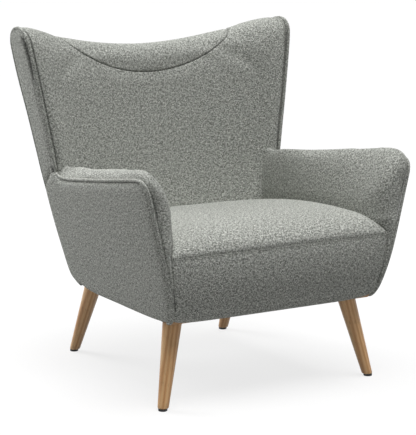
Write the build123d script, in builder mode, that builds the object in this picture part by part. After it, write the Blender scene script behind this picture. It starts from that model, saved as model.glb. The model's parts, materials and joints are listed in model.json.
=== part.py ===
# Wing-back accent chair on splayed oak legs, in millimetres.
# The front faces -Y, +Z is up and the origin lies on the floor under the middle.
import os
from math import atan, cos, radians, sin, sqrt, tan

from build123d import *

os.makedirs("parts", exist_ok=True)

# Heights above the floor
body_bottom = 208
seat_seam = 375
seat_crown = 432
arm_height = 560
arm_low = 500
ridge_height = 813
wing_height = 881

# Reach of the body from the origin, seen from above
front_reach = 384
front_tuck = 31
arm_low_reach = 125
junction_reach = 160
junction_rise = 20
rear_low = 236
rear_mid = 312
rear_top = 386

# Half widths and the slopes of the leaning sides
seat_half = 303
arm_half = 330.5
wing_half = 340
arm_slope = tan(radians(13.7))
wing_slope = tan(radians(9.6))
inner_slope = tan(radians(2.3))
plan_slope = tan(radians(2.3))

# Shape of the back
back_set = 272
back_level = 741
back_slope = tan(radians(10.8))
wing_forward = 100
bow_low = 10
bow_mid = 66
bow_top = 85
crown_drop = 48
base_round = 45
head_half = 240
head_rise = 85
head_depth = 72
head_seam = ridge_height - head_depth
ridge_bow = 2.2
section_shares = (-1.12, -0.9, -0.62, -0.32, 0, 0.32, 0.62, 0.9, 1.12)

# Arm and seat padding
arm_corner = 45
arm_tuck = 392
arm_crest = 14
inner_drop = 10
strip_height = 60
seat_roll = 95
seat_edge = 4
seat_side_drop = 14
seat_rear_drop = 16
roll_shares = (0, 0.05, 0.15, 0.3, 0.5, 0.75, 1)
seat_shares = (0.25, 0.5, 0.75, 1)

# Sheets, pads and clearances
cover = 3
welt = 5.5
ease = 0.3
back_pad_depth = 34
arm_pad_top = 12
webbing = 2
webbing_width = 50
webbing_columns = (-1.5, -0.5, 0.5, 1.5)
sheet = 1.2

# Frame timber
board = 22
rail_top = 335
post_width = 60
post_front = 190
post_heel = 27
board_margin = 5.5
arm_rail_depth = 45
top_rail_depth = 60
lumbar_height = 420
block_reach = 62
block_margin = 10
block_height = 36

# Seat springs
spring_wire = 3.8
spring_spacing = 92
spring_columns = (-2, -1, 0, 1, 2)
spring_swing = 24
spring_step = 28
spring_bend = 11
clip_size = 14

# Legs and their fittings
leg_top_diameter = 48
leg_foot_diameter = 27
leg_ease = 3
front_leg_inset = 34
front_leg_set = 99
front_splay = (48, -36)
rear_leg_inset = 48
rear_leg_set = 52
rear_splay = (15, 97)
glide_diameter = 22
glide_height = 6
nail_diameter = 3
nail_length = 20
bolt_diameter = 8
bolt_in_leg = 34
nut_diameter = 11
nut_depth = 12
nut_flange = 22
nut_flange_thickness = 1.5

# Levels and places that follow from the driving dimensions
junction_height = arm_low + junction_rise
half_span = wing_half + wing_slope * (wing_height - junction_height - crown_drop)
clip_height = spring_wire + 6 * ease
deck = rail_top + clip_height + ease
rail_bottom = body_bottom + sheet + ease
leg_top = body_bottom - ease
side_gap = welt + ease
lean_factor = sqrt(1 + arm_slope**2 + plan_slope**2)
frame_set = cover + ease
strap_depth = frame_set + back_pad_depth + 4 * ease
rail_set = strap_depth + webbing + ease
rail_front = -front_reach + front_tuck + cover + ease
tall = wing_height + front_reach
stations = [share * half_span for share in section_shares]


def arm_x(y, z):
    return arm_half + arm_slope * (z - seat_seam) - plan_slope * (y + front_reach)


def wing_x(y, z):
    return wing_half + wing_slope * (z - junction_height) - plan_slope * (y - junction_reach)


def inner_x(y, z):
    return seat_half + inner_slope * (z - seat_seam) - plan_slope * (y + front_reach)


# Middles of the leg tops, set in from the sides, the front and the rear of the body
front_leg_y = -front_reach + front_leg_set
rear_leg_y = rear_low - rear_leg_set
front_leg_top = (arm_x(front_leg_y, body_bottom) - front_leg_inset, front_leg_y)
rear_leg_top = (arm_x(rear_leg_y, body_bottom) - rear_leg_inset, rear_leg_y)


def arm_top(y):
    fall = (arm_height - arm_low) / (front_reach + arm_low_reach)
    return arm_height - fall * (y + front_reach)


def back_front(x, z):
    return back_set + back_slope * (z - back_level) - wing_forward * (x / half_span) ** 2


def ridge(x):
    return ridge_height + (wing_height - ridge_height) * (abs(x) / half_span) ** ridge_bow


def spring_line(x):
    return ridge(x) - crown_drop


def rear_points(x, inset):
    low_share = (x / arm_x(rear_low, body_bottom)) ** 2
    mid_share = (x / arm_x(rear_low, arm_low)) ** 2
    top_share = (x / half_span) ** 2
    low = (rear_low - bow_low * low_share - inset, body_bottom + base_round)
    middle = (rear_mid - bow_mid * mid_share - inset, arm_low)
    top = (rear_top - bow_top * top_share - inset, spring_line(x))
    return low, middle, top


def leaning(origin, slope):
    return Plane(origin=origin, x_dir=(-plan_slope, 1, 0), z_dir=(1, plan_slope, -slope))


def other_side(plane):
    start, out = plane.origin, plane.z_dir
    return Plane(
        origin=(-start.X, start.Y, start.Z),
        x_dir=(plan_slope, 1, 0),
        z_dir=(-out.X, out.Y, out.Z),
    )


arm_plane = leaning((arm_half, -front_reach, seat_seam), arm_slope)
wing_plane = leaning((wing_half, junction_reach, junction_height), wing_slope)
inner_plane = leaning((seat_half, -front_reach, seat_seam), inner_slope)


def upright(y, z):
    return (y, z)


def on_arm(y, z):
    spot = arm_plane.to_local_coords(Vector(arm_x(y, z), y, z))
    return (spot.X, spot.Y)


def on_wing(y, z):
    spot = wing_plane.to_local_coords(Vector(wing_x(y, z), y, z))
    return (spot.X, spot.Y)


def within(planes, depth):
    # Cuts away what stands outside the planes, moved in by the depth, on both sides.
    for plane in planes:
        split(bisect_by=plane.offset(-depth), keep=Keep.BOTTOM)
        split(bisect_by=other_side(plane.offset(-depth)), keep=Keep.BOTTOM)


def layer(planes, outer, inner):
    # Leaves the layer of the right side between two depths inside the planes.
    for plane in planes:
        split(bisect_by=plane.offset(-outer), keep=Keep.BOTTOM)
    with BuildPart(mode=Mode.PRIVATE) as core:
        Box(4 * half_span, 4 * front_reach, 2 * tall)
        for plane in planes:
            split(bisect_by=plane.offset(-inner), keep=Keep.BOTTOM)
    add(core.part, mode=Mode.SUBTRACT)


def finish(piece, name):
    piece.part.label = name
    export_step(piece.part, f"parts/{name}.step")


def both_sides(piece, name):
    # Writes the piece as the right one and its mirror image as the left one.
    finish(piece, f"right_{name}")
    with BuildPart() as twin:
        add(piece.part)
        mirror(about=Plane.YZ, mode=Mode.REPLACE)
    finish(twin, f"left_{name}")


def back_form(inset):
    # Curved slab of the back through upright sections from side to side.
    with BuildPart() as form:
        for x in stations:
            spring = spring_line(x)
            low, middle, top = rear_points(x, inset)
            front_low = (back_front(x, body_bottom) + inset, body_bottom + inset)
            front_top = (back_front(x, spring) + inset, spring)
            crown = ((front_top[0] + top[0]) / 2, ridge(x) - inset)
            rounded = base_round - inset
            turn = (low[0] - rounded * (1 - sqrt(0.5)), low[1] - rounded * sqrt(0.5))
            under = (low[0] - rounded, low[1] - rounded)
            with BuildSketch(Plane.YZ.offset(x)):
                with BuildLine():
                    Line(front_low, front_top)
                    ThreePointArc(front_top, crown, top)
                    ThreePointArc(top, middle, low)
                    ThreePointArc(low, turn, under)
                    Line(under, front_low)
                make_face()
        loft()
    return form.part


def band(depth, thickness, lower, upper):
    # Curved board that follows the back's front face at a depth behind it.
    with BuildPart() as form:
        for x in stations:
            z_low, z_high = lower(x), upper(x)
            y_low, y_high = back_front(x, z_low) + depth, back_front(x, z_high) + depth
            with BuildSketch(Plane.YZ.offset(x)):
                Polygon(
                    (y_low, z_low),
                    (y_low + thickness, z_low),
                    (y_high + thickness, z_high),
                    (y_high, z_high),
                    align=None,
                )
        loft()
    return form.part


back_outer = back_form(0)
back_inner = back_form(cover)
back_core = back_form(cover + ease)
back_clear = back_form(-ease)


# Halves of the back, parted along a leaning surface that meets the ridge
with BuildPart() as front_half:
    for x in stations:
        low, middle, top = rear_points(x, 0)
        crown_y = (back_front(x, spring_line(x)) + top[0]) / 2
        foot_y = low[0] - base_round + board
        lean = (crown_y - foot_y) / (ridge(x) - body_bottom)
        with BuildSketch(Plane.YZ.offset(x)):
            Polygon(
                (foot_y - lean * body_bottom, 0),
                (crown_y + lean * (tall - ridge(x)), tall),
                (crown_y - front_reach, tall),
                (foot_y - front_reach, 0),
                align=None,
            )
    loft()

with BuildPart() as back_shell:
    add(back_outer)
    add(back_inner, mode=Mode.SUBTRACT)
    within((wing_plane, arm_plane), side_gap)

# Space that the arms take beside the back, below their crest
with BuildPart() as arm_space:
    with BuildSketch(Plane.YZ):
        with Locations((junction_reach, 0)):
            Rectangle(front_reach, 2 * (arm_low + arm_crest + ease))
    extrude(amount=2 * half_span)
    split(bisect_by=inner_plane.offset(-ease), keep=Keep.TOP)
    mirror(about=Plane.YZ)

with BuildPart() as outside_back_cover:
    add(back_shell.part)
    add(front_half.part, mode=Mode.SUBTRACT)
finish(outside_back_cover, "outside_back_cover")

with BuildPart() as inside_skin:
    add(back_shell.part)
    add(front_half.part, mode=Mode.INTERSECT)
    split(bisect_by=Plane.XY.offset(deck), keep=Keep.TOP)
    add(arm_space.part, mode=Mode.SUBTRACT)


def crescent(drop):
    # Block above the curved seam across the head of the back.
    with BuildPart() as block:
        with BuildSketch(Plane.XZ.offset(-front_reach - rear_top)):
            with BuildLine():
                ends = (head_half + drop, head_seam + head_rise - drop)
                ThreePointArc((-ends[0], ends[1]), (0, head_seam - drop), ends)
                Polyline(ends, (ends[0], tall), (-ends[0], tall), (-ends[0], ends[1]))
            make_face()
        extrude(amount=2 * (front_reach + rear_top))
    return block.part


head_block = crescent(0)
head_cut = crescent(ease)

with BuildPart() as head_panel:
    add(inside_skin.part)
    add(head_block, mode=Mode.INTERSECT)
finish(head_panel, "head_panel")

with BuildPart() as inside_back_cover:
    add(inside_skin.part)
    add(head_cut, mode=Mode.SUBTRACT)
finish(inside_back_cover, "inside_back_cover")

# Padding of the back, rolled over the top rail
frame_space = band(
    frame_set + back_pad_depth,
    front_reach,
    lambda x: 0,
    lambda x: spring_line(x),
)
with BuildPart() as back_pad:
    add(back_core)
    add(frame_space, mode=Mode.SUBTRACT)
    split(bisect_by=Plane.XY.offset(deck), keep=Keep.TOP)
    within((wing_plane, arm_plane), side_gap)
    add(arm_space.part, mode=Mode.SUBTRACT)
finish(back_pad, "back_pad")

# Boards across the back, and the webbing stretched over their front faces
top_rail_band = band(
    rail_set,
    board,
    lambda x: spring_line(x) - ease - top_rail_depth,
    lambda x: spring_line(x) - ease,
)
with BuildPart() as back_top_rail:
    add(top_rail_band)
    within((wing_plane, arm_plane), frame_set + board)
finish(back_top_rail, "back_top_rail")

lumbar_band = band(
    rail_set,
    board,
    lambda x: lumbar_height,
    lambda x: lumbar_height + top_rail_depth,
)
with BuildPart() as lumbar_rail:
    add(lumbar_band)
    within((wing_plane, arm_plane), frame_set + board)
finish(lumbar_rail, "lumbar_rail")

with BuildPart() as back_webbing:
    for column in webbing_columns:
        middle_x = column * 2 * webbing_width
        for x in (middle_x - webbing_width / 2, middle_x + webbing_width / 2):
            z_low, z_high = lumbar_height, spring_line(x) - board_margin
            y_low, y_high = back_front(x, z_low) + strap_depth, back_front(x, z_high) + strap_depth
            with BuildSketch(Plane.YZ.offset(x)):
                Polygon(
                    (y_low, z_low),
                    (y_low + webbing, z_low),
                    (y_high + webbing, z_high),
                    (y_high, z_high),
                    align=None,
                )
        loft(ruled=True)
finish(back_webbing, "back_webbing")

# Frame boards that stand inside the leaning sides
def side_board(outline):
    with BuildPart() as piece:
        with BuildSketch(Plane.YZ):
            Polygon(*outline, align=None)
        extrude(amount=2 * half_span)
        layer((arm_plane,), frame_set, frame_set + board)
    return piece


front_post_rear = rail_front + post_width
post_top = arm_top(front_post_rear) - arm_pad_top
front_post = side_board([
    (rail_front, rail_bottom),
    (front_post_rear, rail_bottom),
    (front_post_rear, post_top),
    (rail_front, post_top),
])
both_sides(front_post, "front_post")

side_rail = side_board([
    (front_post_rear, rail_bottom),
    (post_front, rail_bottom),
    (post_front, rail_top),
    (front_post_rear, rail_top),
])
both_sides(side_rail, "side_rail")

arm_rail_end = arm_top(post_front) - arm_pad_top
arm_rail = side_board([
    (front_post_rear, post_top - arm_rail_depth),
    (post_front, arm_rail_end - arm_rail_depth),
    (post_front, arm_rail_end),
    (front_post_rear, post_top),
])
both_sides(arm_rail, "arm_rail")

# Back post, straight below the arm and raked with the wing above it
post_inset = lean_factor * (frame_set + board) + ease
step_x = wing_x(post_front, arm_low + arm_crest) - post_inset
post_step = back_front(step_x, arm_low + arm_crest) + rail_set
head_x = half_span - post_inset
post_head = spring_line(head_x) - board_margin
head_front = back_front(head_x, post_head) + rail_set
post_rear = frame_set + welt / 2
top_rear = rear_points(half_span, post_rear)[2]
with BuildPart() as back_post:
    with BuildSketch(Plane.YZ):
        with BuildLine():
            Polyline(
                (post_front, rail_bottom),
                (post_front, arm_low),
                (max(post_front, post_step), arm_low + arm_crest + 2 * ease),
                (head_front, post_head),
                (top_rear[0], post_head),
            )
            ThreePointArc(
                (top_rear[0], post_head),
                (rear_mid - bow_mid - post_rear, arm_low),
                (rear_low - bow_low - post_rear, body_bottom + base_round),
            )
            Polyline(
                (rear_low - bow_low - post_rear, body_bottom + base_round),
                (rear_low - bow_low - post_heel, rail_bottom),
                (post_front, rail_bottom),
            )
        make_face()
    extrude(amount=2 * half_span)
    layer((arm_plane, wing_plane), frame_set, frame_set + board)
both_sides(back_post, "back_post")

# Rails of the seat frame
with BuildPart() as front_rail:
    with BuildSketch(Plane.YZ.offset(-half_span)):
        with Locations((rail_front, rail_bottom)):
            Rectangle(board, rail_top - rail_bottom, align=(Align.MIN, Align.MIN))
    extrude(amount=2 * half_span)
    within((arm_plane,), frame_set + board)
finish(front_rail, "front_rail")

back_rail_rear = rear_low - bow_low - frame_set - board_margin
with BuildPart() as back_rail:
    with BuildSketch(Plane.YZ.offset(-half_span)):
        with Locations((back_rail_rear, rail_top)):
            Rectangle(board, rail_top - body_bottom - base_round, align=(Align.MAX, Align.MAX))
    extrude(amount=2 * half_span)
    within((arm_plane,), frame_set + board)
finish(back_rail, "back_rail")


# Arms: a rounded section along the arm, trimmed to the arm's side view
def front_curve(place, inset, foot):
    # Front edge of the body, curving in under the seat seam down to its foot.
    front = -front_reach + inset
    half_turn = atan(front_tuck / (seat_seam - foot))
    radius = (seat_seam - foot) / sin(2 * half_turn)
    middle = (front + radius * (1 - cos(half_turn)), seat_seam - radius * sin(half_turn))
    ThreePointArc(
        place(front, seat_seam),
        place(*middle),
        place(front + front_tuck, foot),
    )


def arm_outline(place, inset, lift):
    # Front edge, rounded front corner and falling top line of an arm.
    front = -front_reach + inset
    front_curve(place, inset, body_bottom)
    FilletPolyline(
        place(front, seat_seam),
        place(front, arm_height + lift),
        place(arm_low_reach, arm_low + lift),
        radius=arm_corner - inset,
    )


def arm_form(inset, overhang, low, rear):
    with BuildPart() as form:
        for y in (-front_reach - arm_corner, rear):
            top = arm_top(y)
            outer_top = (arm_x(y, top - inset) - side_gap * lean_factor, top - inset)
            inner_top = (inner_x(y, top) + inset, top - inner_drop - inset)
            crown = ((outer_top[0] + inner_top[0]) / 2, top + arm_crest - inset)
            edge = (outer_top[0] + overhang, outer_top[1])
            foot = (arm_x(y, low) - side_gap * lean_factor + overhang, low)
            with BuildSketch(Plane.XZ.offset(-y)):
                with BuildLine():
                    ThreePointArc(outer_top, crown, inner_top)
                    Polyline(inner_top, (inner_x(y, low) + inset, low), foot, edge)
                    if overhang:
                        Line(edge, outer_top)
                make_face()
        loft(ruled=True)
        with BuildSketch(Plane.YZ):
            with BuildLine():
                arm_outline(upright, inset, arm_crest + welt)
                Polyline(
                    (arm_low_reach, arm_low + arm_crest + welt),
                    (rear_top, arm_low + arm_crest + welt),
                    (rear_top, body_bottom),
                    (-front_reach + inset + front_tuck, body_bottom),
                )
            make_face()
        extrude(amount=2 * half_span, mode=Mode.INTERSECT)
    return form.part


arm_end = post_front - ease
arm_foot = seat_seam - strip_height
arm_outer = arm_form(0, 0, arm_foot, arm_end)
arm_inner = arm_form(cover, side_gap, arm_foot - cover, arm_end + cover)
arm_core = arm_form(cover + ease, 0, arm_tuck, arm_end)

with BuildPart() as inside_arm_cover:
    add(arm_outer)
    add(arm_inner, mode=Mode.SUBTRACT)
    with BuildSketch(Plane.YZ):
        with Locations((rail_front - ease, 0)):
            Rectangle(2 * front_reach, arm_tuck, align=(Align.MIN, Align.MIN))
    extrude(amount=2 * half_span, mode=Mode.SUBTRACT)
both_sides(inside_arm_cover, "inside_arm_cover")

with BuildPart() as arm_frame_space:
    with BuildSketch(Plane.YZ):
        pad_drop = arm_pad_top - ease
        Polygon(
            (rail_front - ease, 0),
            (rear_top, 0),
            (rear_top, arm_top(rear_top) - pad_drop),
            (rail_front - ease, arm_top(rail_front) - pad_drop),
            align=None,
        )
    extrude(amount=2 * half_span)
    split(bisect_by=arm_plane.offset(-frame_set - board - ease), keep=Keep.TOP)

with BuildPart() as arm_pad:
    add(arm_core)
    add(arm_frame_space.part, mode=Mode.SUBTRACT)
both_sides(arm_pad, "arm_pad")

# Outside panels, drawn inside the piping that edges them
panel_inset = welt / 2 + 2 * ease
seam_start = (junction_reach, junction_height)
seam_end = (rear_mid - bow_mid, arm_low - base_round)
rear_heel = (rear_low - bow_low, body_bottom + base_round)
with BuildPart() as outside_arm_panel:
    with BuildSketch(arm_plane):
        with BuildLine():
            arm_outline(on_arm, panel_inset, -panel_inset)
            rounded = base_round - panel_inset
            heel = (rear_heel[0] - panel_inset, rear_heel[1])
            under = (heel[0] - rounded, body_bottom)
            turn = (heel[0] - rounded * (1 - sqrt(0.5)), heel[1] - base_round * sqrt(0.5))
            Polyline(
                on_arm(arm_low_reach, arm_low - panel_inset),
                on_arm(seam_start[0], seam_start[1] - 2 * panel_inset),
                on_arm(seam_end[0] - panel_inset, seam_end[1] - panel_inset),
                on_arm(*heel),
            )
            ThreePointArc(on_arm(*heel), on_arm(*turn), on_arm(*under))
            Line(on_arm(*under), on_arm(-front_reach + panel_inset + front_tuck, body_bottom))
        make_face()
    extrude(amount=-cover)
both_sides(outside_arm_panel, "outside_arm_panel")


def wing_outline(inset):
    # Front foot, two top corners and rear heel of the wing's outer face.
    foot_x = wing_x(junction_reach, junction_height)
    lean = (rear_top - bow_top - rear_mid + bow_mid) / (spring_line(half_span) - arm_low)
    front_foot_y = back_front(foot_x, junction_height)
    front_head_y = back_front(half_span, wing_height)
    rear_head_y = rear_mid - bow_mid + lean * (wing_height - arm_low)
    return [
        (front_foot_y + inset, junction_height),
        (front_head_y + inset, wing_height - inset),
        (rear_head_y - inset, wing_height - inset),
        (seam_end[0] - inset, seam_end[1]),
    ]


with BuildPart() as outside_wing_panel:
    with BuildSketch(wing_plane):
        with BuildLine():
            corners = wing_outline(panel_inset)
            corners.append((seam_start[0] + panel_inset, seam_start[1] - panel_inset))
            foot, front_head, rear_head, heel, notch = [on_wing(*spot) for spot in corners]
            FilletPolyline(foot, front_head, rear_head, heel, radius=crown_drop - panel_inset)
            Polyline(heel, notch, foot)
        make_face()
    extrude(amount=-cover)
both_sides(outside_wing_panel, "outside_wing_panel")

# Piping round the arm panel, and round the wing and down the rear edge
with BuildPart() as arm_welt:
    with BuildLine(arm_plane.offset(-welt / 2)) as seam:
        front_curve(on_arm, 0, body_bottom)
        FilletPolyline(
            on_arm(-front_reach, seat_seam),
            on_arm(-front_reach, arm_height),
            on_arm(arm_low_reach, arm_low),
            on_arm(seam_start[0] - welt, seam_start[1] - welt),
            radius=[arm_corner, base_round],
        )
    with BuildSketch(Plane(origin=seam.line @ 0, z_dir=seam.line % 0)):
        Circle(welt / 2)
    sweep(path=seam.line)
both_sides(arm_welt, "arm_welt")

welt_depth = lean_factor * welt / 2
with BuildPart() as wing_welt:
    with BuildLine() as seam:
        foot, front_head, rear_head, heel = wing_outline(0)
        points = [(wing_x(y, z) - welt_depth, y, z) for y, z in (foot, front_head, rear_head)]
        points += [(arm_x(y, z) - welt_depth, y, z) for y, z in (heel, rear_heel)]
        FilletPolyline(*points, radius=[crown_drop, crown_drop, 2 * crown_drop])
    with BuildSketch(Plane(origin=seam.line @ 0, z_dir=seam.line % 0)):
        Circle(welt / 2)
    sweep(path=seam.line)
both_sides(wing_welt, "wing_welt")


# Seat: sections across the seat with a crowned top, rolled down at the front
def seat_top(y):
    roll = min(1, (y + front_reach) / seat_roll)
    rise = (seat_crown - seat_seam - seat_edge) * sqrt(1 - (1 - roll) ** 2)
    behind = max(0, y + front_reach - seat_roll) / front_reach
    return seat_seam + seat_edge + rise - seat_rear_drop * behind ** 2


roll_end = -front_reach + seat_roll
seat_end = back_front(0, seat_seam) + board


def seat_form(inset, setback, bottom):
    with BuildPart() as form:
        lines = [-front_reach + share * seat_roll for share in roll_shares]
        lines += [roll_end + share * (seat_end - roll_end) for share in seat_shares]
        for y in lines:
            roll = min(1, (y + front_reach) / seat_roll)
            crown = seat_top(y) - inset
            shoulder = crown - seat_side_drop * roll
            half = seat_half + cover
            place = y + (inset + setback) * (1 - roll)
            with BuildSketch(Plane.XZ.offset(-place)):
                with BuildLine():
                    ThreePointArc((-half, shoulder), (0, crown + ease), (half, shoulder))
                    Polyline((half, shoulder), (half, bottom), (-half, bottom), (-half, shoulder))
                make_face()
        loft(ruled=True)
    return form.part


border_curve = front_tuck * ((seat_seam - deck) / (seat_seam - body_bottom)) ** 2
seat_outer = seat_form(0, 0, arm_foot)
seat_inner = seat_form(cover, 0, arm_foot - cover)
seat_core = seat_form(cover + ease, border_curve + ease, deck)

with BuildPart() as seat_cover:
    add(seat_outer)
    add(seat_inner, mode=Mode.SUBTRACT)
    split(bisect_by=Plane.XY.offset(seat_seam), keep=Keep.TOP)
    within((inner_plane,), ease)
    within((arm_plane,), frame_set + board + ease)
    add(back_clear, mode=Mode.SUBTRACT)
finish(seat_cover, "seat_cover")

with BuildPart() as seat_foam:
    add(seat_core)
    within((inner_plane,), ease)
    within((arm_plane,), frame_set + board + ease)
    add(back_clear, mode=Mode.SUBTRACT)
finish(seat_foam, "seat_foam")


# Front border between the arms, with its padding against the front rail
def border_form(inset, rear, bottom, top):
    front = -front_reach + inset
    with BuildPart() as form:
        with BuildSketch(Plane.YZ.offset(-half_span)):
            with BuildLine():
                front_curve(upright, inset, body_bottom)
                Polyline(
                    (front + front_tuck, body_bottom),
                    (rear, body_bottom),
                    (rear, seat_seam),
                    (front, seat_seam),
                )
            make_face()
        extrude(amount=2 * half_span)
        split(bisect_by=Plane.XY.offset(bottom), keep=Keep.TOP)
        split(bisect_by=Plane.XY.offset(top), keep=Keep.BOTTOM)
        within((arm_plane,), side_gap)
    return form.part


border_outer = border_form(0, rail_front + cover, body_bottom, seat_seam - ease)
border_inner = border_form(cover, rail_front + board, body_bottom, seat_seam)
border_core = border_form(cover + ease, rail_front + board, rail_bottom + board, deck - ease)
with BuildPart() as strip_space:
    with BuildSketch(Plane.YZ):
        with Locations((-front_reach, arm_foot - ease)):
            Rectangle(2 * front_reach, front_reach, align=(Align.CENTER, Align.MIN))
    extrude(amount=2 * half_span)
    split(bisect_by=inner_plane.offset(-ease), keep=Keep.TOP)
    mirror(about=Plane.YZ)

with BuildPart() as front_border:
    add(border_outer)
    add(border_inner, mode=Mode.SUBTRACT)
    add(strip_space.part, mode=Mode.SUBTRACT)
finish(front_border, "front_border")

with BuildPart() as front_border_pad:
    add(border_core)
    split(bisect_by=Plane.XZ.offset(ease - rail_front), keep=Keep.TOP)
    add(strip_space.part, mode=Mode.SUBTRACT)
finish(front_border_pad, "front_border_pad")

# Seat springs: bent wires from the front rail to the back rail, held in clips
spring_level = rail_top + spring_wire / 2 + ease
spring_front = rail_front + board / 2 - clip_size / 2
spring_rear = back_rail_rear - board / 2 + clip_size / 2
spring_run = spring_rear - spring_front - 2 * board
spring_rows = int(spring_run / spring_step)
first_row = (spring_front + spring_rear - spring_rows * spring_step) / 2
spring_places = [column * spring_spacing for column in spring_columns]


def spring_path(x):
    points = [(x, spring_front), (x, first_row)]
    for row in range(spring_rows):
        y = first_row + row * spring_step
        side = x + spring_swing * (-1) ** row
        points += [(side, y), (side, y + spring_step)]
    last_row = first_row + spring_rows * spring_step
    return points + [(x, last_row), (x, spring_rear)]


with BuildPart() as seat_springs:
    for x in spring_places:
        with BuildLine(Plane.XY.offset(spring_level)) as zigzag:
            FilletPolyline(*spring_path(x), radius=spring_bend)
        with BuildSketch(Plane(origin=zigzag.line @ 0, z_dir=zigzag.line % 0)):
            Circle(spring_wire / 2)
        sweep(path=zigzag.line)
finish(seat_springs, "seat_springs")

with BuildPart() as spring_clips:
    for y in (rail_front + board / 2, back_rail_rear - board / 2):
        for x in spring_places:
            with Locations((x, y, rail_top)):
                Box(clip_size, clip_size, clip_height, align=(Align.CENTER, Align.CENTER, Align.MIN))
    with BuildSketch(Plane.XZ):
        with Locations(*[(x, spring_level) for x in spring_places]):
            Circle(spring_wire / 2 + ease / 2)
    extrude(amount=2 * front_reach, both=True, mode=Mode.SUBTRACT)
finish(spring_clips, "spring_clips")

# Dust cover stretched under the frame, with a hole for each leg bolt
dust_rear = rear_low - bow_low - base_round / 2 - cover
leg_tops = [front_leg_top, rear_leg_top]
bolt_places = [(side * x, y) for x, y in leg_tops for side in (-1, 1)]
with BuildPart() as dust_cover:
    with BuildSketch(Plane.XY.offset(body_bottom)):
        edge = lean_factor * frame_set + ease
        front_x = arm_x(rail_front, body_bottom) - edge
        rear_x = arm_x(dust_rear, body_bottom) - edge
        Polygon(
            (-front_x, rail_front),
            (front_x, rail_front),
            (rear_x, dust_rear),
            (-rear_x, dust_rear),
            align=None,
        )
        with Locations(*bolt_places):
            Circle(bolt_diameter / 2 + ease, mode=Mode.SUBTRACT)
    extrude(amount=sheet)
finish(dust_cover, "dust_cover")

# Corner blocks glued into the frame over each leg
block_top = rail_bottom + block_height
front_block_y = rail_front + board
rear_block_y = rear_leg_top[1] + block_margin - block_reach
with BuildPart() as corner_blocks:
    with BuildSketch(Plane.XY.offset(rail_bottom)):
        for leg, start in ((front_leg_top, front_block_y), (rear_leg_top, rear_block_y)):
            with Locations((leg[0] + block_margin - block_reach, start)):
                Rectangle(2 * block_reach, block_reach, align=(Align.MIN, Align.MIN))
    extrude(amount=block_height)
    split(bisect_by=arm_plane.offset(-frame_set - board), keep=Keep.BOTTOM)
    mirror(about=Plane.YZ)
    with Locations(*[(x, y, block_top) for x, y in bolt_places]):
        CounterBoreHole(bolt_diameter / 2 + ease, nut_diameter / 2 + ease, nut_depth)
finish(corner_blocks, "corner_blocks")

# Tee nuts let into the blocks, and the hanger bolts that the legs screw on with
with BuildPart() as tee_nuts:
    with Locations(*[(x, y, block_top) for x, y in bolt_places]):
        Cylinder(nut_diameter / 2, nut_depth - ease, align=(Align.CENTER, Align.CENTER, Align.MAX))
        Cylinder(nut_flange / 2, nut_flange_thickness, align=(Align.CENTER, Align.CENTER, Align.MIN))
        Hole(bolt_diameter / 2 + ease / 2)
finish(tee_nuts, "tee_nuts")

bolt_length = bolt_in_leg + block_top - leg_top
with BuildPart() as hanger_bolts:
    with Locations(*[(x, y, leg_top - bolt_in_leg) for x, y in bolt_places]):
        Cylinder(bolt_diameter / 2, bolt_length, align=(Align.CENTER, Align.CENTER, Align.MIN))
    chamfer(hanger_bolts.edges(), 2 * ease)
finish(hanger_bolts, "hanger_bolts")

# Turned legs, each an oblique taper with an eased foot
leg_foot = glide_height + ease / 2
front_foot = (front_leg_top[0] + front_splay[0], front_leg_top[1] + front_splay[1])
rear_foot = (rear_leg_top[0] + rear_splay[0], rear_leg_top[1] + rear_splay[1])


def taper_leg(top, foot):
    with BuildPart() as leg:
        rise = (leg_foot + leg_ease) / leg_top
        above = (foot[0] + rise * (top[0] - foot[0]), foot[1] + rise * (top[1] - foot[1]))
        with BuildSketch(Plane.XY.offset(leg_foot)):
            with Locations(foot):
                Circle(leg_foot_diameter / 2 - leg_ease)
        with BuildSketch(Plane.XY.offset(leg_foot + leg_ease)):
            with Locations(above):
                Circle(leg_foot_diameter / 2)
        with BuildSketch(Plane.XY.offset(leg_top)):
            with Locations(top):
                Circle(leg_top_diameter / 2)
        loft(ruled=True)
        with BuildSketch(Plane.XY.offset(leg_top)):
            with Locations(top):
                Circle(bolt_diameter / 2 + ease / 2)
        extrude(amount=-bolt_in_leg - ease, mode=Mode.SUBTRACT)
        with BuildSketch(Plane.XY):
            with Locations(foot):
                Circle(nail_diameter / 2 + ease / 2)
        extrude(amount=glide_height / 2 + nail_length + ease, mode=Mode.SUBTRACT)
    return leg


both_sides(taper_leg(front_leg_top, front_foot), "front_leg")
both_sides(taper_leg(rear_leg_top, rear_foot), "rear_leg")


# Glides under the legs, with the nails that hold them
def foot_glide(foot):
    with BuildPart() as glide:
        with BuildSketch():
            with Locations(foot):
                Circle(glide_diameter / 2)
        extrude(amount=glide_height)
        fillet(glide.edges().group_by(Axis.Z)[0], glide_height / 4)
        with BuildSketch(Plane.XY.offset(glide_height)):
            with Locations(foot):
                Circle(nail_diameter / 2 + ease / 2)
        extrude(amount=-glide_height / 2, mode=Mode.SUBTRACT)
    return glide


both_sides(foot_glide(front_foot), "front_glide")
both_sides(foot_glide(rear_foot), "rear_glide")

foot_places = [(side * x, y) for x, y in (front_foot, rear_foot) for side in (-1, 1)]
with BuildPart() as glide_nails:
    with Locations(*[(x, y, glide_height / 2 + ease / 2) for x, y in foot_places]):
        Cylinder(nail_diameter / 2, nail_length, align=(Align.CENTER, Align.CENTER, Align.MIN))
finish(glide_nails, "glide_nails")
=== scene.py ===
import json
from bisect import bisect_right
from math import cos, exp, pi, radians, sin, sqrt, tan

import bmesh
import bpy
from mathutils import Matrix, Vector
from mathutils.geometry import interpolate_bezier


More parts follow.
